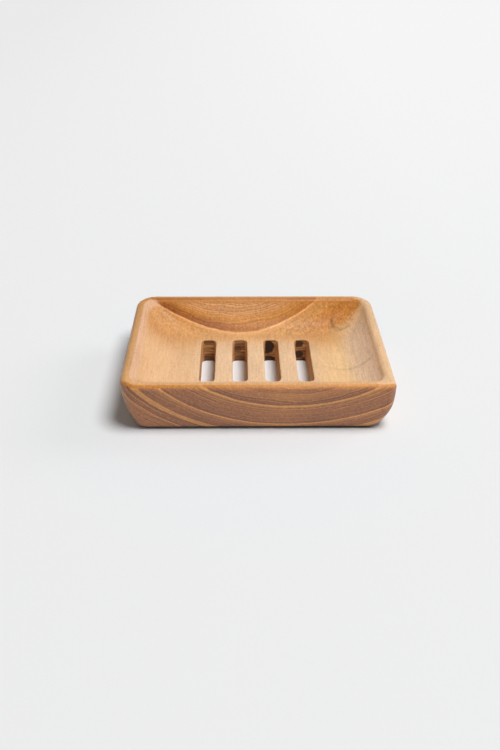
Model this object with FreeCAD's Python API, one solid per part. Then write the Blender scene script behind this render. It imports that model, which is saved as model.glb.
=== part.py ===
"""Soap dish carved from one block of wood: rounded ends, a dished hollow and four drain slots.

Frame: +Z up, X along the dish, -Y towards the user, origin at the middle of the base on the surface
that the dish stands on. Millimetres.
"""
import FreeCAD, Part
import math
import os
from FreeCAD import Vector

# Block, and its corners as seen from above
LENGTH = 120.0              # where the ends are widest
DEPTH = 86.0                # at the rim, before its edges are rounded
HEIGHT = 27.0
CORNER_RADIUS = 9.5         # at the rim
CRISP_CORNER_RADIUS = 4.0   # at the rim, on the front right corner, which is less worn down
BASE_CORNER_RADIUS = 5.0    # where the block meets the surface that it stands on

# Sides: how far the base stands in from the widest outline
END_INSET = 6.0             # left and right ends, which curve like a barrel
LEFT_WIDEST_SHARE = 0.92    # of the height, where the left end is widest
RIGHT_WIDEST_SHARE = 0.72
FACE_INSET = 6.5            # front and back faces, which lean out and curve a little
FACE_LEAN_SHARE = 0.55      # of that inset, the straight lean

# Rim and hollow
END_RIM_WIDTH = 5.2         # flat land between the outside and the hollow
FACE_RIM_WIDTH = 4.6
HOLLOW_CORNER_RADIUS = 5.5  # at the rim
FLOOR_CORNER_RADIUS = 15.0  # round the flat floor
FLOOR_THICKNESS = 12.4      # wood left under the hollow
FLOOR_END_MARGIN = 7.0      # flat floor beyond the outermost slots
FLOOR_FACE_MARGIN = 2.0     # flat floor behind the slots
COVE_ANGLE = 45.0           # degrees of arc in the hollow's wall, which is stretched to reach the rim

# Drain slots
SLOT_COUNT = 4
SLOT_PITCH = 15.5
SLOT_WIDTH = 6.8
SLOT_LENGTH = 38.0
SLOT_CORNER_RADIUS = 1.6
SLOT_SHIFT = 2.5            # the slots lie this far behind the middle

# Sanded edges
OUTER_RIM_ROUND = 2.6
INNER_RIM_ROUND = 1.6
BASE_ROUND = 3.6
SLOT_TOP_ROUND = 0.7
SLOT_BASE_ROUND = 0.8

SECTIONS = 7                # outlines in each loft
OVERRUN = 2.0               # a cutter runs this far past the faces that it cuts
TOUCH = 1e-4                # places closer than this are the same


def rounded_outline(left, right, half_depth, radii, z):
    """A rectangle with round corners, as a wire. The radii start at the back right, then go left."""
    places = ((right, half_depth), (left, half_depth), (left, -half_depth), (right, -half_depth))
    arcs = []
    for quarter, ((x, y), radius) in enumerate(zip(places, radii)):
        centre = Vector(x - math.copysign(radius, x), y - math.copysign(radius, y), z)
        points = []
        for half_quarter in range(3):
            angle = math.radians(90 * quarter + 45 * half_quarter)
            points.append(centre + Vector(math.cos(angle), math.sin(angle), 0) * radius)
        arcs.append(Part.Arc(*points))
    edges = []
    for arc, following in zip(arcs, arcs[1:] + arcs[:1]):
        edges.append(arc.toShape())
        edges.append(Part.LineSegment(arc.EndPoint, following.StartPoint).toShape())
    return Part.Wire(edges)


def between(start, end, share):
    return start + (end - start) * share


def end_inset(widest_share, z):
    """How far an end stands in at height z: nothing where it is widest, and a curve away from there."""
    widest = widest_share * HEIGHT
    return END_INSET * ((widest - z) / widest) ** 2


def face_inset(z):
    """How far the front and back stand in at height z: a straight lean and a curve."""
    drop_share = 1 - z / HEIGHT
    return FACE_INSET * (FACE_LEAN_SHARE * drop_share + (1 - FACE_LEAN_SHARE) * drop_share ** 2)


def block():
    """The outside, lofted through outlines from the base to the rim."""
    outlines = []
    for step in range(SECTIONS):
        height_share = step / (SECTIONS - 1)
        z = HEIGHT * height_share
        radius = between(BASE_CORNER_RADIUS, CORNER_RADIUS, height_share)
        crisp_radius = between(BASE_CORNER_RADIUS, CRISP_CORNER_RADIUS, height_share)
        outlines.append(rounded_outline(
            end_inset(LEFT_WIDEST_SHARE, z) - LENGTH / 2,
            LENGTH / 2 - end_inset(RIGHT_WIDEST_SHARE, z),
            DEPTH / 2 - face_inset(z),
            (radius, radius, radius, crisp_radius),
            z,
        ))
    return Part.makeLoft(outlines, True)


def hollow():
    """The dished hollow: a flat floor, and walls that curve up from it to the rim."""
    floor_half_length = (SLOT_COUNT - 1) * SLOT_PITCH / 2 + SLOT_WIDTH / 2 + FLOOR_END_MARGIN
    floor_half_depth = SLOT_LENGTH / 2 + SLOT_SHIFT + FLOOR_FACE_MARGIN
    sweep = math.radians(COVE_ANGLE)
    outlines = []
    for step in range(SECTIONS):
        angle = sweep * step / (SECTIONS - 1)
        out_share = math.sin(angle) / math.sin(sweep)
        rise_share = (1 - math.cos(angle)) / (1 - math.cos(sweep))
        half_length = between(floor_half_length, LENGTH / 2 - END_RIM_WIDTH, out_share)
        radius = between(FLOOR_CORNER_RADIUS, HOLLOW_CORNER_RADIUS, out_share)
        outlines.append(rounded_outline(
            -half_length,
            half_length,
            between(floor_half_depth, DEPTH / 2 - FACE_RIM_WIDTH, out_share),
            (radius, radius, radius, radius),
            between(FLOOR_THICKNESS, HEIGHT, rise_share),
        ))
    return Part.makeLoft(outlines, True)


def drain_slot(x):
    """A cutter with small round corners that goes right through the floor at x."""
    half_width = SLOT_WIDTH / 2
    outline = rounded_outline(-half_width, half_width, SLOT_LENGTH / 2, (SLOT_CORNER_RADIUS,) * 4, -OVERRUN)
    slot = Part.Face(outline).extrude(Vector(0, 0, FLOOR_THICKNESS + 2 * OVERRUN))
    slot.translate(Vector(x, SLOT_SHIFT, 0))
    return slot


def edges_at(shape, z, half_length, half_depth, shift=0, inside=True):
    """The shape's edges at height z that lie inside a rectangle, or the others at that height."""
    found = []
    for edge in shape.Edges:
        box = edge.BoundBox
        level = abs(box.ZMin - z) < TOUCH and abs(box.ZMax - z) < TOUCH
        along = max(box.XMax, -box.XMin) < half_length + TOUCH
        across = max(box.YMax - shift, shift - box.YMin) < half_depth + TOUCH
        if level and (along and across) == inside:
            found.append(edge)
    return found


def dish_body():
    """The whole dish: the block, hollowed and slotted, with every sharp edge rounded."""
    dish = block().cut(hollow())
    for index in range(SLOT_COUNT):
        dish = dish.cut(drain_slot((index - (SLOT_COUNT - 1) / 2) * SLOT_PITCH))
    slots = ((SLOT_COUNT - 1) * SLOT_PITCH / 2 + SLOT_WIDTH / 2, SLOT_LENGTH / 2, SLOT_SHIFT)
    mouth = (LENGTH / 2 - END_RIM_WIDTH, DEPTH / 2 - FACE_RIM_WIDTH)
    dish = dish.makeFillet(SLOT_TOP_ROUND, edges_at(dish, FLOOR_THICKNESS, *slots))
    dish = dish.makeFillet(SLOT_BASE_ROUND, edges_at(dish, 0, *slots))
    dish = dish.makeFillet(BASE_ROUND, edges_at(dish, 0, *slots, inside=False))
    dish = dish.makeFillet(INNER_RIM_ROUND, edges_at(dish, HEIGHT, *mouth))
    return dish.makeFillet(OUTER_RIM_ROUND, edges_at(dish, HEIGHT, *mouth, inside=False))


os.makedirs("parts", exist_ok=True)
dish_body().exportStep("parts/dish_body.step")
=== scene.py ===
"""A soap dish carved from one block of oiled wood, on a pale studio surface."""
import math

import bmesh
import bpy
from mathutils import Matrix, Vector


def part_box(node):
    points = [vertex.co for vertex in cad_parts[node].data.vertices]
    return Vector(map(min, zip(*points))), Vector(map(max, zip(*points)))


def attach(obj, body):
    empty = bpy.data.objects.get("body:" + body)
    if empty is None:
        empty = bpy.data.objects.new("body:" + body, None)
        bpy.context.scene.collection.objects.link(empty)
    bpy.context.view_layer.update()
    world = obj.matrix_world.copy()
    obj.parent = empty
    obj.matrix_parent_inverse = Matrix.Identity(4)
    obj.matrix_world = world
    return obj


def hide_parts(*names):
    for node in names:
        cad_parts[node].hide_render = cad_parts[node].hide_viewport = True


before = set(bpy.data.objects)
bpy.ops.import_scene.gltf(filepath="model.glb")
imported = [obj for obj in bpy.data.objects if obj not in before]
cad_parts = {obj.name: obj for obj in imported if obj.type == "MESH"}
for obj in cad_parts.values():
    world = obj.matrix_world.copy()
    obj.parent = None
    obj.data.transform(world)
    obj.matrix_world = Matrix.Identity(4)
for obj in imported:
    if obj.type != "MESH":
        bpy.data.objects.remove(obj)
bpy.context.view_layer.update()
bpy.ops.object.select_all(action="DESELECT")


# Dish
# One block of close-grained hardwood, with a dished hollow and four drain slots cut by a router.
# Its sides lean in towards the base. The edges were rounded over by hand with sandpaper, so no two
# corners are quite alike, and the wood was then oiled.
MM = 0.001
TOUCH = 0.01 * MM               # places closer than this are the same
dish_low, dish_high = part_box("dish_body")
RIM_WEAR = 0.4 * MM             # the rim's sharp edge, before sanding, stood this far out
HALF_LENGTH = (dish_high[0] - dish_low[0]) / 2
HALF_DEPTH = (dish_high[1] - dish_low[1]) / 2 + RIM_WEAR
HEIGHT = dish_high[2]
BASE_CORNER = 5.0 * MM
RIM_CORNER = 9.5 * MM
CRISP_CORNER = 4.0 * MM         # at the rim, on the front right corner, which is less worn down

# Ends that curve like a barrel, and faces that lean out and curve a little.
LEFT_BASE_INSET = 6.0 * MM
LEFT_RIM_INSET = 0.05 * MM
LEFT_WIDEST_SHARE = 0.92
RIGHT_BASE_INSET = 5.8 * MM
RIGHT_RIM_INSET = 0.4 * MM
RIGHT_WIDEST_SHARE = 0.62
FACE_INSET = 6.5 * MM
FACE_LEAN_SHARE = 0.55

# The land of the rim round the hollow, and the hollow's flat floor and coved walls.
LEFT_LAND = 5.2 * MM
RIGHT_LAND = 4.6 * MM
FACE_LAND = 4.6 * MM
RIM_FALL = 0.2 * MM             # from the outer edge of the rim to the hollow
MOUTH_CORNER = 5.5 * MM
FLOOR_CORNER = 18.0 * MM
FLOOR_HEIGHT = 12.4 * MM
FLOOR_HALF_LENGTH = 38.65 * MM
FLOOR_HALF_DEPTH = 23.5 * MM
COVE_ANGLE = math.radians(45)

# How finely the outlines are cut up.
SIDE_LEVELS = 12
COVE_LEVELS = 16
CORNER_STEPS = 8
LONG_CUTS = 39
SHORT_CUTS = 23
OUTLINE_POINTS = 4 * (CORNER_STEPS + 1) + 2 * (LONG_CUTS + SHORT_CUTS)

bpy.ops.mesh.primitive_plane_add(size=MM)
dish = bpy.context.object
dish.name = "carved_dish"
bpy.ops.object.mode_set(mode="EDIT")
bpy.ops.mesh.delete(type="VERT")


def pick(chosen):
    """Selects the points of the mesh being edited for which chosen is true, and counts all its points."""
    bpy.ops.mesh.select_all(action="DESELECT")
    mesh = bpy.context.object.data
    shape = bmesh.from_edit_mesh(mesh)
    shape.verts.index_update()
    for point in shape.verts:
        point.select = chosen(point)
    shape.select_flush_mode()
    bmesh.update_edit_mesh(mesh)
    return len(shape.verts)


def pick_edges(chosen):
    """Selects the edges for which chosen is true in the mesh being edited."""
    bpy.ops.mesh.select_all(action="DESELECT")
    mesh = bpy.context.object.data
    shape = bmesh.from_edit_mesh(mesh)
    shape.verts.index_update()
    for edge in shape.edges:
        if chosen(edge):
            edge.select_set(True)
    bmesh.update_edit_mesh(mesh)


def between(start, end, share):
    return start + (end - start) * share


def outline(left, right, half_depth, radius, crisp_radius, height):
    """Adds an outline of the dish with round corners, and skins over the gap to the one before it."""
    before = pick(lambda point: False)
    middle = Vector(((left + right) / 2, 0, height))
    bpy.ops.mesh.primitive_plane_add(size=1, location=middle)
    bpy.ops.transform.resize(value=(right - left, 2 * half_depth, 1), center_override=middle)
    bpy.ops.mesh.delete(type="ONLY_FACE")
    for corner_x, corner_y, corner_radius in (
        (left, -half_depth, radius), (left, half_depth, radius),
        (right, half_depth, radius), (right, -half_depth, crisp_radius),
    ):
        corner = Vector((corner_x, corner_y, height))
        pick(lambda point: point.index >= before and (point.co - corner).length < TOUCH)
        bpy.ops.mesh.bevel(offset=corner_radius, affect="VERTICES", segments=CORNER_STEPS)
    for cuts, across in ((LONG_CUTS, 1), (SHORT_CUTS, 0)):
        pick_edges(lambda edge: min(point.index for point in edge.verts) >= before
                   and abs(edge.verts[0].co[across] - edge.verts[1].co[across]) < TOUCH)
        bpy.ops.mesh.subdivide(number_cuts=cuts)
    if before:
        pick(lambda point: point.index >= before - OUTLINE_POINTS)
        bpy.ops.mesh.bridge_edge_loops()


def end_inset(base_inset, rim_inset, widest_share, height_share):
    """How far an end stands in: nothing where it is widest, and a curve away from there, down and up."""
    if height_share < widest_share:
        return base_inset * (1 - height_share / widest_share) ** 2
    return rim_inset * ((height_share - widest_share) / (1 - widest_share)) ** 2


for level in range(SIDE_LEVELS + 1):
    height_share = level / SIDE_LEVELS
    drop = 1 - height_share
    outline(
        end_inset(LEFT_BASE_INSET, LEFT_RIM_INSET, LEFT_WIDEST_SHARE, height_share) - HALF_LENGTH,
        HALF_LENGTH - end_inset(RIGHT_BASE_INSET, RIGHT_RIM_INSET, RIGHT_WIDEST_SHARE, height_share),
        HALF_DEPTH - FACE_INSET * (FACE_LEAN_SHARE * drop + (1 - FACE_LEAN_SHARE) * drop ** 2),
        between(BASE_CORNER, RIM_CORNER, height_share),
        between(BASE_CORNER, CRISP_CORNER, height_share),
        HEIGHT * height_share,
    )
for level in reversed(range(COVE_LEVELS + 1)):
    angle = COVE_ANGLE * level / COVE_LEVELS
    out_share = math.sin(angle) / math.sin(COVE_ANGLE)
    rise_share = (1 - math.cos(angle)) / (1 - math.cos(COVE_ANGLE))
    hollow_corner = between(FLOOR_CORNER, MOUTH_CORNER, out_share)
    outline(
        between(-FLOOR_HALF_LENGTH, LEFT_LAND - HALF_LENGTH, out_share),
        between(FLOOR_HALF_LENGTH, HALF_LENGTH - RIGHT_LAND, out_share),
        between(FLOOR_HALF_DEPTH, HALF_DEPTH - FACE_LAND, out_share),
        hollow_corner,
        hollow_corner,
        between(FLOOR_HEIGHT, HEIGHT - RIM_FALL, rise_share),
    )
total = pick(lambda point: point.index < OUTLINE_POINTS)
bpy.ops.mesh.edge_face_add()
pick(lambda point: point.index >= total - OUTLINE_POINTS)
bpy.ops.mesh.edge_face_add()
bpy.ops.mesh.select_all(action="SELECT")
bpy.ops.mesh.normals_make_consistent()

# The edges rounded by sandpaper: under the base, outside the rim and inside it.
BASE_EASE = 3.0 * MM
OUTER_EASE = 2.7 * MM
INNER_EASE = 1.4 * MM
EASE_STEPS = 6
for height, ease in ((0, BASE_EASE), (HEIGHT, OUTER_EASE), (HEIGHT - RIM_FALL, INNER_EASE)):
    pick(lambda point: abs(point.co.z - height) < TOUCH)
    bpy.ops.mesh.bevel(offset=ease, affect="EDGES", segments=EASE_STEPS)
bpy.ops.object.mode_set(mode="OBJECT")

# The drain slots go right through the floor, and their sharp edges are taken off.
SLOT_COUNT = 4
SLOT_PITCH = 15.5 * MM
SLOT_WIDTH = 7.3 * MM
SLOT_LENGTH = 38.0 * MM
SLOT_SHIFT = 2.5 * MM           # the slots lie this far behind the middle
SLOT_CORNER = 2.4 * MM
SLOT_TOP_EASE = 0.45 * MM
SLOT_BASE_EASE = 0.3 * MM
SLOT_STEPS = 4
FIRST_SLOT = -SLOT_PITCH * (SLOT_COUNT - 1) / 2
UPRIGHT = 0.5                   # a face whose normal rises less than this is a wall
SMOOTH_ANGLE = math.radians(40)

bpy.ops.object.select_all(action="DESELECT")
bpy.ops.mesh.primitive_cube_add(
    size=1,
    location=(FIRST_SLOT, SLOT_SHIFT, FLOOR_HEIGHT / 2),
    scale=(SLOT_WIDTH, SLOT_LENGTH, 2 * FLOOR_HEIGHT),
)
cutter = bpy.context.object
bpy.ops.object.transform_apply(location=True, rotation=False, scale=True)
bpy.ops.object.mode_set(mode="EDIT")
pick_edges(lambda edge: abs(edge.verts[0].co.z - edge.verts[1].co.z) > FLOOR_HEIGHT)
bpy.ops.mesh.bevel(offset=SLOT_CORNER, affect="EDGES", segments=SLOT_STEPS)
bpy.ops.object.mode_set(mode="OBJECT")
row = cutter.modifiers.new("row", "ARRAY")
row.count = SLOT_COUNT
row.use_relative_offset = False
row.use_constant_offset = True
row.constant_offset_displace = (SLOT_PITCH, 0, 0)
bpy.ops.object.modifier_apply(modifier="row")

bpy.ops.object.select_all(action="DESELECT")
dish.select_set(True)
bpy.context.view_layer.objects.active = dish
slots = dish.modifiers.new("slots", "BOOLEAN")
slots.object = cutter
slots.operation = "DIFFERENCE"
slots.solver = "EXACT"
bpy.ops.object.modifier_apply(modifier="slots")
bpy.data.objects.remove(cutter)


def slot_edge(edge, height):
    """Whether an edge runs along a slot's mouth at this height, with a wall beside it."""
    level = all(abs(point.co.z - height) < TOUCH for point in edge.verts)
    return level and any(abs(face.normal.z) < UPRIGHT for face in edge.link_faces)


bpy.ops.object.mode_set(mode="EDIT")
for height, ease in ((FLOOR_HEIGHT, SLOT_TOP_EASE), (0, SLOT_BASE_EASE)):
    pick_edges(lambda edge: slot_edge(edge, height))
    bpy.ops.mesh.bevel(offset=ease, affect="EDGES", segments=SLOT_STEPS)
bpy.ops.object.mode_set(mode="OBJECT")
bpy.ops.object.shade_smooth_by_angle(angle=SMOOTH_ANGLE)


class Grain:
    """A number, vector or colour that a shader works out at each point of a piece."""

    def __init__(self, tree, socket=None):
        self.tree = tree
        self.socket = socket

    def add(self, kind, settings, inputs, output=0):
        """Adds a node with these settings, and these values or links on its sockets."""
        node = self.tree.nodes.new(kind)
        for name, value in settings.items():
            if name == "stops":
                elements = node.color_ramp.elements
                while len(elements) < len(value):
                    elements.new(1.0)
                for element, (place, colour) in zip(elements, value):
                    element.position = place
                    element.color = colour
            else:
                setattr(node, name, value)
        for key, value in inputs.items():
            if isinstance(value, Grain):
                self.tree.links.new(value.socket, node.inputs[key])
            else:
                node.inputs[key].default_value = value
        return Grain(self.tree, node.outputs[output])

    def math(self, operation, *values):
        return self.add("ShaderNodeMath", {"operation": operation}, dict(enumerate(values)))

    def mix(self, share, first, second, blend="MIX"):
        settings = {"data_type": "RGBA", "blend_type": blend}
        return self.add("ShaderNodeMix", settings, {0: share, 6: first, 7: second}, 2)

    def __add__(self, other):
        return self.math("ADD", self, other)

    def __radd__(self, other):
        return self.math("ADD", other, self)

    def __sub__(self, other):
        return self.math("SUBTRACT", self, other)

    def __rsub__(self, other):
        return self.math("SUBTRACT", other, self)

    def __mul__(self, other):
        return self.math("MULTIPLY", self, other)

    def __rmul__(self, other):
        return self.math("MULTIPLY", other, self)

    def __truediv__(self, other):
        return self.math("DIVIDE", self, other)

    def __rtruediv__(self, other):
        return self.math("DIVIDE", other, self)

    def __abs__(self):
        return self.math("ABSOLUTE", self)


def linear(red, green, blue):
    """A colour as it looks on screen, 0 to 255, as the linear colour that a shader takes."""
    parts = []
    for part in (red, green, blue):
        share = part / 255
        parts.append(share / 12.92 if share <= 0.04045 else ((share + 0.055) / 1.055) ** 2.4)
    return (*parts, 1.0)


wood = bpy.data.materials.new("oiled_wood")
wood.use_nodes = True
wood.node_tree.nodes.clear()
start = Grain(wood.node_tree)
mix = start.mix
place = start.add("ShaderNodeTexCoord", {}, {}, "Object")
millimetres = start.add("ShaderNodeVectorMath", {"operation": "SCALE"}, {0: place, "Scale": 1 / MM})
x, y, z = (start.add("ShaderNodeSeparateXYZ", {}, {0: millimetres}, axis) for axis in "XYZ")
MIDDLE = 0.5                    # noise and ring tones swing about this


def noise(scales, detail, roughness, offset=0.0):
    """Smooth noise, 0 to 1, with its own number of features per millimetre along each axis."""
    stretched = start.add("ShaderNodeMapping", {}, {
        0: millimetres, "Location": (offset, offset, offset), "Scale": scales})
    return start.add("ShaderNodeTexNoise", {}, {
        "Vector": stretched, "Scale": 1.0, "Detail": detail, "Roughness": roughness})


def smooth(value, low, high):
    """0 at low, 1 at high, and a smooth step between."""
    return start.add("ShaderNodeMapRange", {"interpolation_type": "SMOOTHSTEP"}, {
        "Value": value, "From Min": low, "From Max": high})


# Growth rings: the heart of the trunk lay above the block and crossed it at a slant. Each ring ends in
# a dark line of late wood, and the next starts with a bright one. The tones are given by distance from
# the heart. All places in the wood are in millimetres.
HEART_X = 1.4
HEART_SLANT = -0.306
HEART_HEIGHT = 85.3
TAPER = 0.029                   # the rings shrink by this for each millimetre towards the front
TAPER_START = 30.0
NEAREST_RING = 55.0
FARTHEST_RING = 100.0
RING_TONES = (
    (55.0, 0.56), (58.0, 0.52), (58.4, 0.58), (61.5, 0.55), (64.6, 0.47), (65.0, 0.59), (67.5, 0.54),
    (70.4, 0.40), (71.6, 0.34), (72.0, 0.80), (72.8, 0.72), (73.2, 0.52), (74.0, 0.46), (74.3, 0.66),
    (74.9, 0.50), (76.4, 0.42), (76.7, 0.58), (77.4, 0.46), (82.5, 0.42), (83.8, 0.32), (84.2, 0.86),
    (84.9, 0.58), (86.5, 0.46), (90.6, 0.36), (91.2, 0.74), (92.0, 0.62), (92.7, 0.72), (93.5, 0.30),
    (94.8, 0.46), (97.2, 0.34), (97.6, 0.68), (98.6, 0.46),
)
SLOW_SWAY = 0.8
QUICK_SWAY = 0.9
WANDER = 5.0
FINE_RINGS_PER_MM = 1.3
slow_sway = noise(scales=(0.02, 0.008, 0.02), detail=2.0, roughness=0.5) - MIDDLE
quick_sway = noise(scales=(0.12, 0.02, 0.12), detail=3.0, roughness=0.6) - MIDDLE
sway = slow_sway * SLOW_SWAY + quick_sway * QUICK_SWAY
across = x - HEART_X - y * HEART_SLANT
up = z - HEART_HEIGHT
radius = start.math("SQRT", across * across + up * up) + (TAPER_START - y) * TAPER + sway
ring_place = start.add("ShaderNodeMapRange", {}, {
    "Value": radius, "From Min": NEAREST_RING, "From Max": FARTHEST_RING})


def by_ring(stops):
    """A colour for each distance from the heart, blended between the ones given."""
    span = FARTHEST_RING - NEAREST_RING
    places = [((distance - NEAREST_RING) / span, colour) for distance, colour in stops]
    return start.add("ShaderNodeValToRGB", {"stops": places}, {"Fac": ring_place})


ring = by_ring([(distance, (tone, tone, tone, 1.0)) for distance, tone in RING_TONES])
wander = noise(scales=(0.05, 0.02, 0.07), detail=2.0, roughness=0.5, offset=50.0) - MIDDLE
fine_rings = start.add("ShaderNodeTexNoise", {"noise_dimensions": "1D"}, {
    "W": radius + wander * WANDER, "Scale": FINE_RINGS_PER_MM, "Detail": 3.0, "Roughness": 0.7})

# A pin knot, where a twig started, shows faintly on the slope at the back right.
KNOT_PLACE = (45.0, 32.0, 16.0)
KNOT_RADIUS = 5.6
KNOT_WOBBLE = 3.5
KNOT_LINE = (1.5, 0.2)
KNOT_HEIGHTS = (21.0, 16.0)
wobble = noise(scales=(0.2, 0.2, 0.2), detail=3.0, roughness=0.6, offset=5.0) - MIDDLE
knot_reach = start.add("ShaderNodeVectorMath", {"operation": "DISTANCE"}, {
    0: millimetres, 1: KNOT_PLACE}, "Value")
knot_reach = knot_reach + wobble * KNOT_WOBBLE
knot = smooth(abs(knot_reach - KNOT_RADIUS), *KNOT_LINE) * smooth(z, *KNOT_HEIGHTS)

# A faint line of late wood crosses the right of the floor and climbs the wall there.
LATE_LINE_SLANT = 0.39
LATE_LINE_PLACE = 8.8
LATE_LINE_WIDTH = (1.7, 0.1)
LATE_LINE_START = (28.0, 36.0)
LATE_LINE_END = (55.0, 52.0)
LATE_LINE_HEIGHTS = (12.2, 12.3)
late_line = smooth(abs(y + x * LATE_LINE_SLANT - LATE_LINE_PLACE), *LATE_LINE_WIDTH)
late_line = late_line * smooth(x, *LATE_LINE_START) * smooth(x, *LATE_LINE_END)
late_line = late_line * smooth(z, *LATE_LINE_HEIGHTS)

# Fibres and pores run from front to back: streaks on the floor, and dots on the end grain.
PORE_RANGE = (0.67, 0.76)
fibre = noise(scales=(1.4, 0.09, 1.4), detail=5.0, roughness=0.7, offset=7.0)
grit = noise(scales=(0.9, 0.5, 0.9), detail=4.0, roughness=0.75, offset=19.0)
figure = noise(scales=(0.05, 0.03, 0.05), detail=3.0, roughness=0.55, offset=3.0)
pores = smooth(noise(scales=(2.4, 0.6, 2.4), detail=1.0, roughness=0.5, offset=31.0), *PORE_RANGE)

# Where a point lies: how far its surface turns to the front or back, which cuts the fibres across,
# whether it is outside the hollow, and whether it is on the rim or the band at the top of the faces.
OUTSIDE_REACH = (-2.0, 2.0)
BAND_HEIGHTS = (25.6, 26.1)
RIM_HEIGHTS = (24.0, 26.4)
CUT_FACING = (0.06, 0.62)
END_GRAIN_FACING = (0.15, 0.6)
normal = start.add("ShaderNodeTexCoord", {}, {}, "Normal")
towards_x, towards_y = (start.add("ShaderNodeSeparateXYZ", {}, {0: normal}, axis) for axis in "XY")
facing = abs(towards_y)
outside = smooth(towards_y * y, *OUTSIDE_REACH)
band = smooth(z, *BAND_HEIGHTS)
rim = start.math("MAXIMUM", smooth(z, *RIM_HEIGHTS), band * outside)
cut = smooth(facing, *CUT_FACING)
end_grain = smooth(facing, *END_GRAIN_FACING) * outside * (1 - band)

# Tone: how dark or bright the growth leaves each point. Rings show most where the fibres are cut, and
# least on the plain wood of the hollow far from the heart. Fibres show most on the flat floor.
PLAIN_RADII = (73.5, 78.0)
PLAIN_FADE = 0.8
FIBRE_DEPTH = 0.9
CUT_FIBRE_FADE = 0.5
GRIT_DEPTH = 0.65
CUT_GRIT_GAIN = 0.5
PLAIN_GRIT_GAIN = 0.7
FIGURE_DEPTH = 0.4
RING_DEPTH = 0.6
OUTSIDE_RING_GAIN = 0.4
FINE_DEPTH = 0.55
INSIDE_FINE_GAIN = 0.65
INSIDE_FINE_RADII = (70.0, 66.0)
FLAT_GROWTH_SHARE = 0.25
RIM_GROWTH_FADE = 0.6
KNOT_DEPTH = 0.3
LATE_LINE_DEPTH = 0.17
plain = smooth(radius, *PLAIN_RADII) * (1 - end_grain)
fibre_depth = FIBRE_DEPTH - cut * CUT_FIBRE_FADE
grit_depth = GRIT_DEPTH + cut * CUT_GRIT_GAIN + cut * plain * PLAIN_GRIT_GAIN
streak = (fibre - MIDDLE) * fibre_depth + (grit - MIDDLE) * grit_depth + (figure - MIDDLE) * FIGURE_DEPTH
ring_depth = RING_DEPTH + outside * OUTSIDE_RING_GAIN
fine_depth = FINE_DEPTH + (1 - outside) * smooth(radius, *INSIDE_FINE_RADII) * INSIDE_FINE_GAIN
growth = ((ring - MIDDLE) * ring_depth + (fine_rings - MIDDLE) * fine_depth) * (1 - plain * PLAIN_FADE)
growth_share = FLAT_GROWTH_SHARE + cut * (1 - FLAT_GROWTH_SHARE)
tone = growth * growth_share * (1 - rim * RIM_GROWTH_FADE) + streak
tone = tone - knot * KNOT_DEPTH - late_line * LATE_LINE_DEPTH


def shaded(colour, depth):
    """The colour, darker where the growth is dark and brighter where it is bright."""
    return mix(1.0, colour, 1 + tone * depth, "MULTIPLY")


# Wood drinks more oil where its fibres are cut across, so the floor stays pale and the slopes turn
# orange. Oil also lay longer at the back of the floor, and soaked in on the left of the back slope.
FLOOR_COLOUR = linear(230, 188, 144)
FLOOR_RIGHT_COLOUR = linear(242, 202, 150)
FLOOR_RIGHT = (22.0, 44.0)
FLOOR_DEPTH = 0.6
SLOPE_COLOURS = (
    (55.0, linear(217, 168, 119)), (65.0, linear(211, 154, 101)), (68.0, linear(209, 144, 71)),
    (71.9, linear(192, 122, 56)), (72.1, linear(224, 172, 112)), (72.7, linear(207, 148, 85)),
    (77.0, linear(207, 146, 78)), (81.0, linear(196, 128, 56)),
)
SLOPE_DEPTH = 1.2
SLOPE_FACING = (0.0, 0.62)
SOAKED_COLOUR = linear(160, 92, 44)
SOAKED_DEPTH = 1.8
SOAKED_SHARE = 0.7
SOAKED_LEFT = (8.0, -22.0)
SOAKED_START = (66.5, 70.5)
SOAKED_END = (72.2, 71.8)
POOL_SHARE = 0.7
POOL_BACK = (4.0, 28.0)
POOL_RIGHT = (54.0, 36.0)
floor_colour = shaded(mix(smooth(x, *FLOOR_RIGHT), FLOOR_COLOUR, FLOOR_RIGHT_COLOUR), FLOOR_DEPTH)
slope_colour = shaded(by_ring(SLOPE_COLOURS), SLOPE_DEPTH)
soaked = smooth(x, *SOAKED_LEFT) * smooth(radius, *SOAKED_START) * smooth(radius, *SOAKED_END)
slope_colour = mix(soaked * SOAKED_SHARE, slope_colour, shaded(SOAKED_COLOUR, SOAKED_DEPTH))
pooled = smooth(y, *POOL_BACK) * smooth(x, *POOL_RIGHT) * POOL_SHARE
slope = start.math("MAXIMUM", smooth(facing, *SLOPE_FACING), pooled)
colour = mix(slope, floor_colour, slope_colour)

# The hollow's right wall is paler with painted sheen, and the worn floor round the slots is pale. The ends
# are browner outside.
RIGHT_WALL_SHEEN_COLOUR = linear(246, 216, 188)
RIGHT_WALL_SHEEN_DEPTH = 1.1
RIGHT_WALL_SHEEN_SHARE = 0.85
RIGHT_WALL_FACING = (-0.2, -0.85)
RIGHT_WALL_START = (30.0, 40.0)
RIGHT_WALL_BACK = (36.0, 16.0)
END_COLOUR = linear(192, 138, 92)
END_DEPTH = 1.0
END_SHARE = 0.85
END_REACH = (12.0, 40.0)
WORN_FLOOR_COLOUR = linear(240, 210, 178)
WORN_FLOOR_DEPTH = 0.6
WORN_FLOOR_SHARE = 0.35
WORN_FLOOR_MIDDLE = 1.0
WORN_FLOOR_ALONG = (34.0, 22.0)
WORN_FLOOR_ACROSS = (24.0, 15.0)
right_wall_sheen = smooth(towards_x, *RIGHT_WALL_FACING) * smooth(x, *RIGHT_WALL_START)
right_wall_sheen = right_wall_sheen * smooth(y, *RIGHT_WALL_BACK) * (1 - rim)
colour = mix(right_wall_sheen * RIGHT_WALL_SHEEN_SHARE, colour, shaded(RIGHT_WALL_SHEEN_COLOUR, RIGHT_WALL_SHEEN_DEPTH))
end_outside = smooth(towards_x * x, *END_REACH) * (1 - rim)
colour = mix(end_outside * END_SHARE, colour, shaded(END_COLOUR, END_DEPTH))
worn_floor = smooth(abs(x), *WORN_FLOOR_ALONG) * smooth(abs(y - WORN_FLOOR_MIDDLE), *WORN_FLOOR_ACROSS)
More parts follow.
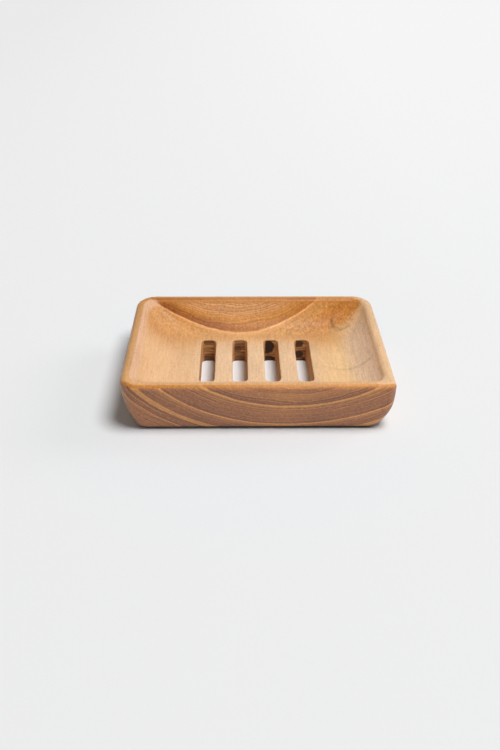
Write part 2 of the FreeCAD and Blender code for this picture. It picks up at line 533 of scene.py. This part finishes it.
colour = mix(worn_floor * WORN_FLOOR_SHARE, colour, shaded(WORN_FLOOR_COLOUR, WORN_FLOOR_DEPTH))

# The rim is a little paler at the front, paler on the right with painted sheen, and darker where it turns
# down to the faces.
RIM_COLOUR = linear(213, 157, 100)
BACK_RIM_COLOUR = linear(212, 148, 80)
FRONT_RIM_COLOUR = linear(219, 165, 108)
RIGHT_RIM_SHEEN_COLOUR = linear(225, 184, 144)
RIM_EDGE_COLOUR = linear(200, 130, 60)
RIM_DEPTH = 0.8
RIM_SHARE = 0.8
BACK_RIM = (30.0, 40.0)
FRONT_RIM = (-34.0, -39.0)
RIGHT_RIM = (48.0, 55.0)
RIM_EDGE_FACING = (0.2, 0.42)
rim_colour = mix(smooth(y, *BACK_RIM), RIM_COLOUR, BACK_RIM_COLOUR)
rim_colour = mix(smooth(y, *FRONT_RIM), rim_colour, FRONT_RIM_COLOUR)
rim_colour = mix(smooth(x, *RIGHT_RIM), rim_colour, RIGHT_RIM_SHEEN_COLOUR)
rim_colour = shaded(mix(smooth(facing, *RIM_EDGE_FACING), rim_colour, RIM_EDGE_COLOUR), RIM_DEPTH)
colour = mix(rim * RIM_SHARE, colour, rim_colour)

# The hollow's back lip has a dark line, and its left and front lips are paler with a painted highlight.
DARK_LIP_COLOUR = linear(150, 84, 42)
DARK_LIP_SHARE = 0.5
DARK_LIP_FAINTEST_SHARE = 0.5
DARK_LIP_RADII = (72.3, 71.7)
DARK_LIP_START = (38.0, 38.7)
DARK_LIP_END = (40.1, 39.4)
DARK_LIP_ALONG = (12.0, 32.0)
LIP_HIGHLIGHT_COLOUR = linear(242, 204, 180)
LIP_HIGHLIGHT_DEPTH = 0.6
LIP_HIGHLIGHT_SHARE = 0.45
LIP_HIGHLIGHT_HEIGHTS = (23.0, 25.0)
LEFT_LIP_FACING = (0.06, 0.3)
LEFT_LIP = (-46.0, -52.0)
FRONT_LIP_FACING = (0.02, 0.25)
FRONT_LIP = (-32.0, -37.0)
dark_lip = smooth(radius, *DARK_LIP_RADII) * smooth(y, *DARK_LIP_START) * smooth(y, *DARK_LIP_END)
towards_ends = smooth(abs(x), *DARK_LIP_ALONG)
dark_lip = dark_lip * (DARK_LIP_FAINTEST_SHARE + towards_ends * (1 - DARK_LIP_FAINTEST_SHARE))
colour = mix(dark_lip * DARK_LIP_SHARE, colour, DARK_LIP_COLOUR)
# The paler left and front lips are a painted highlight.
left_lip = smooth(towards_x, *LEFT_LIP_FACING) * smooth(x, *LEFT_LIP)
front_lip = smooth(towards_y, *FRONT_LIP_FACING) * smooth(y, *FRONT_LIP)
lip_highlight = start.math("MAXIMUM", left_lip, front_lip) * smooth(z, *LIP_HIGHLIGHT_HEIGHTS)
colour = mix(lip_highlight * LIP_HIGHLIGHT_SHARE, colour, shaded(LIP_HIGHLIGHT_COLOUR, LIP_HIGHLIGHT_DEPTH))

# The front and back faces are end grain, brown between bright rings.
END_GRAIN_COLOURS = (
    (0.0, linear(108, 72, 56)), (0.32, linear(156, 106, 80)), (0.5, linear(188, 128, 90)),
    (0.72, linear(218, 155, 96)), (1.0, linear(250, 186, 110)),
)
END_GRAIN_GROWTH = 1.2
END_GRAIN_STREAK = 0.55
end_tone = MIDDLE + growth * END_GRAIN_GROWTH + streak * END_GRAIN_STREAK
end_grain_colour = start.add("ShaderNodeValToRGB", {"stops": END_GRAIN_COLOURS}, {"Fac": end_tone})
colour = mix(end_grain, colour, end_grain_colour)

# Pores are dark all over. The foot, where the sides turn under, is darkened with painted shade.
PORE_COLOUR = linear(118, 72, 42)
PORE_SHARE = 0.4
FOOT_SHADE_COLOUR = linear(58, 38, 28)
FOOT_SHADE_SHARE = 0.75
FOOT_HEIGHTS = (2.2, 0.6)
FOOT_ENDS = (48.0, 52.0)
FOOT_FACES = (30.0, 34.0)
colour = mix(pores * PORE_SHARE, colour, PORE_COLOUR)
edge_of_base = start.math("MAXIMUM", smooth(abs(x), *FOOT_ENDS), smooth(abs(y), *FOOT_FACES))
foot_shade = smooth(z, *FOOT_HEIGHTS) * edge_of_base
colour = mix(foot_shade * FOOT_SHADE_SHARE, colour, FOOT_SHADE_COLOUR)

# The walls of the slots are bare wood, and the router scorched their ends, most of all in the two slots
# on the right. Each burn is given by its middle along X and Z, its half width and half height, and its
# strength.
BURNS = (
    (-23.2, 11.0, 3.2, 1.4, 0.40), (-23.0, 2.6, 3.0, 1.6, 0.60),
    (-7.8, 10.8, 3.6, 1.5, 0.40), (-9.0, 7.2, 2.4, 1.9, 0.62), (-7.8, 1.8, 3.4, 1.3, 0.60),
    (6.6, 8.0, 3.1, 4.2, 1.0), (7.2, 1.7, 3.3, 1.5, 0.95),
    (22.0, 10.2, 2.6, 2.1, 0.90), (22.2, 3.8, 2.5, 2.1, 0.95), (25.0, 0.8, 1.8, 0.9, 0.9),
)
BURN_EDGE = (1.25, 0.7)
BURN_RAGGEDNESS = 1.1
# The foot of each slot's end wall is darkened with painted shade, in the burns' colours.
LOW_SHADE = 0.8
LOW_SHADE_HEIGHTS = (2.2, 0.9)
TOP_SCORCH = 0.6
TOP_SCORCH_HEIGHTS = (10.4, 12.0)
LIGHT_BURN_AND_SHADE_COLOUR = linear(96, 50, 32)
DEEP_BURN_AND_SHADE_COLOUR = linear(32, 25, 25)
DARK_STRIPE_COLOUR = linear(112, 75, 50)
BRIGHT_STRIPE_COLOUR = linear(206, 155, 98)
STRIPE_RANGE = (0.35, 0.65)
SIDE_WALL_COLOUR = linear(216, 166, 116)
SIDE_WALL_SHARE = 0.85
END_WALL_SHARE = 0.95
WALL_FACING = (0.7, 0.9)
SLOTS_ALONG = (28.5, 27.5)
SLOTS_ACROSS = (20.4, 19.2)
SLOTS_HEIGHTS = (12.2, 11.8)
in_slot = smooth(abs(x), *SLOTS_ALONG) * smooth(abs(y - SLOT_SHIFT / MM), *SLOTS_ACROSS)
in_slot = in_slot * smooth(z, *SLOTS_HEIGHTS)
ragged = noise(scales=(0.35, 0.2, 0.6), detail=3.0, roughness=0.6, offset=40.0) - MIDDLE
low_shade = smooth(z, *LOW_SHADE_HEIGHTS) * LOW_SHADE
top_scorch = smooth(z, *TOP_SCORCH_HEIGHTS) * TOP_SCORCH
scorch_and_shade = start.math("MAXIMUM", low_shade, top_scorch)
for burn_x, burn_z, half_width, half_height, strength in BURNS:
    aside = (x - burn_x) / half_width
    above = (z - burn_z) / half_height
    burn = smooth(aside * aside + above * above + ragged * BURN_RAGGEDNESS, *BURN_EDGE) * strength
    scorch_and_shade = start.math("MAXIMUM", scorch_and_shade, burn)
stripes = smooth(noise(scales=(0.06, 0.2, 1.1), detail=3.0, roughness=0.6, offset=12.0), *STRIPE_RANGE)
burn_and_shade_colour = mix(scorch_and_shade, LIGHT_BURN_AND_SHADE_COLOUR, DEEP_BURN_AND_SHADE_COLOUR)
end_wall_colour = mix(scorch_and_shade, mix(stripes, DARK_STRIPE_COLOUR, BRIGHT_STRIPE_COLOUR), burn_and_shade_colour)
end_wall = in_slot * smooth(facing, *WALL_FACING)
colour = mix(end_wall * END_WALL_SHARE, colour, end_wall_colour)
side_wall = in_slot * smooth(abs(towards_x), *WALL_FACING)
colour = mix(side_wall * SIDE_WALL_SHARE, colour, SIDE_WALL_COLOUR)

# The oil leaves a soft gloss, except in the slots, and the fibres and pores can just be felt.
GLOSS_ROUGHNESS = 0.42
TONE_ROUGHNESS = 0.1
SLOT_ROUGHNESS = 0.45
GLOSS_LEVEL = 0.25
RELIEF_STRENGTH = 0.25
RELIEF_HEIGHT = 0.1 * MM
GRIT_RELIEF = 0.5
PORE_RELIEF = 0.6
relief = fibre + grit * GRIT_RELIEF - pores * PORE_RELIEF
bump = start.add("ShaderNodeBump", {}, {
    "Strength": RELIEF_STRENGTH, "Distance": RELIEF_HEIGHT, "Height": relief})
roughness = GLOSS_ROUGHNESS - tone * TONE_ROUGHNESS + in_slot * SLOT_ROUGHNESS
shader = wood.node_tree.nodes.new("ShaderNodeBsdfPrincipled")
shader.inputs["Specular IOR Level"].default_value = GLOSS_LEVEL
output = wood.node_tree.nodes.new("ShaderNodeOutputMaterial")
wood.node_tree.links.new(colour.socket, shader.inputs["Base Color"])
wood.node_tree.links.new(roughness.socket, shader.inputs["Roughness"])
wood.node_tree.links.new(bump.socket, shader.inputs["Normal"])
wood.node_tree.links.new(shader.outputs[0], output.inputs["Surface"])

dish.data.materials.append(wood)
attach(dish, "root")
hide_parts("dish_body")


# Light
# A soft round lamp hangs over the dish, to the right and in front of it, and a far window on the right
# fills the shadow at that end. The walls of the room are pale and dim.
LAMP_PLACE = Vector((0.17, -0.19, 0.62))
LAMP_RADIUS = 0.14
LAMP_POWER = 15.3
bpy.ops.object.light_add(type="POINT", location=LAMP_PLACE)
lamp = bpy.context.object
lamp.data.shadow_soft_size = LAMP_RADIUS
lamp.data.energy = LAMP_POWER

WINDOW_DIRECTION = Vector((0.85, 0.25, 0.46))
WINDOW_STRENGTH = 0.45
WINDOW_ANGLE = math.radians(30)
bpy.ops.object.light_add(type="SUN")
window = bpy.context.object
window.rotation_euler = WINDOW_DIRECTION.to_track_quat("Z", "Y").to_euler()
window.data.energy = WINDOW_STRENGTH
window.data.angle = WINDOW_ANGLE

ROOM_STRENGTH = 0.15
studio = bpy.data.worlds.new("studio")
bpy.context.scene.world = studio
studio.use_nodes = True
sky = studio.node_tree.nodes["Background"]
sky.inputs["Color"].default_value = (1, 1, 1, 1)
sky.inputs["Strength"].default_value = ROOM_STRENGTH


# Surface
# A sheet of matt white paper board that runs out of sight behind the dish. Where it lies too far from
# the lamp to look white, it glows for the camera and in reflections, and lights nothing.
BOARD_SIZE = 12.0
# The board is painted a little darker on the left and brighter on the right, as the lamp's light falls
# across it.
LEFT_WHITE = 0.81
RIGHT_WHITE = 0.90
LEFT_WHITE_X = -0.35
RIGHT_WHITE_X = 0.15
WHITEST = 0.96
ROOM_SHARE = 0.20               # of the light that falls on the board at the dish
LAMP_FALL_OFF = 3.0             # the power of the distance by which the lamp's light fades on the board
NEAR_DISH = 0.05
CLEAR_OF_DISH = 0.12
# Near the dish the board is painted cooler, against the warm light that the wood throws on it.
NEAR_TINT = (0.96, 1.0, 1.03, 1.0)
CLEAR_TINT = (0.995, 1.0, 1.002, 1.0)
bpy.ops.object.select_all(action="DESELECT")
bpy.ops.mesh.primitive_plane_add(size=BOARD_SIZE, location=(0, 0, 0))
board = bpy.context.object
board.name = "paper_board"
paper = bpy.data.materials.new("white_paper")
paper.use_nodes = True
sheet = Grain(paper.node_tree)
spot = sheet.add("ShaderNodeTexCoord", {}, {}, "Object")
lamp_reach = sheet.add("ShaderNodeVectorMath", {"operation": "DISTANCE"}, {0: spot, 1: LAMP_PLACE}, "Value")
spot_x = sheet.add("ShaderNodeSeparateXYZ", {}, {0: spot}, "X")
white = sheet.add("ShaderNodeMapRange", {}, {
    "Value": spot_x, "From Min": LEFT_WHITE_X, "From Max": RIGHT_WHITE_X,
    "To Min": LEFT_WHITE, "To Max": RIGHT_WHITE})
lamp_light = sheet.math("POWER", LAMP_PLACE.length / lamp_reach, LAMP_FALL_OFF)
lit = ROOM_SHARE + (1 - ROOM_SHARE) * lamp_light
shade = sheet.math("MINIMUM", white / lit, WHITEST)
seen = sheet.add("ShaderNodeLightPath", {}, {}, "Is Camera Ray")
mirrored = sheet.add("ShaderNodeLightPath", {}, {}, "Is Glossy Ray")
passed = sheet.add("ShaderNodeLightPath", {}, {}, "Is Transmission Ray")
shown = sheet.math("MAXIMUM", sheet.math("MAXIMUM", seen, mirrored), passed)
glow = (white - shade * lit) * shown
dish_reach = sheet.add("ShaderNodeVectorMath", {"operation": "LENGTH"}, {0: spot}, "Value")
near = sheet.add("ShaderNodeMapRange", {}, {
    "Value": dish_reach, "From Min": CLEAR_OF_DISH, "From Max": NEAR_DISH})
tint = sheet.mix(1.0, shade, sheet.mix(near, CLEAR_TINT, NEAR_TINT), "MULTIPLY")
paper_shader = paper.node_tree.nodes["Principled BSDF"]
paper.node_tree.links.new(tint.socket, paper_shader.inputs["Base Color"])
paper.node_tree.links.new(glow.socket, paper_shader.inputs["Emission Color"])
paper_shader.inputs["Emission Strength"].default_value = 1.0
paper_shader.inputs["Roughness"].default_value = 1.0
paper_shader.inputs["Specular IOR Level"].default_value = 0.0
board.data.materials.append(paper)


# Camera
# It stands in front of the dish and looks down at it, as a person at a basin does. Its lens is given by
# the focal length in pixels of the picture.
CAMERA_PLACE = (-0.008762, -0.312815, 0.206934)
CAMERA_YAW = math.radians(1.091)
CAMERA_PITCH = math.radians(32.821)
CAMERA_ROLL = math.radians(0.423)
FOCAL_PIXELS = 765.0
PICTURE_HEIGHT = 750
SENSOR = 36.0
bpy.ops.object.camera_add(location=CAMERA_PLACE)
camera = bpy.context.object
turn = Matrix.Rotation(-CAMERA_YAW, 4, "Z") @ Matrix.Rotation(math.pi / 2 - CAMERA_PITCH, 4, "X")
camera.matrix_world = Matrix.Translation(CAMERA_PLACE) @ turn @ Matrix.Rotation(CAMERA_ROLL, 4, "Z")
camera.data.sensor_width = SENSOR
camera.data.lens = FOCAL_PIXELS * SENSOR / PICTURE_HEIGHT
bpy.context.scene.camera = camera
bpy.context.scene.view_settings.view_transform = "Standard"
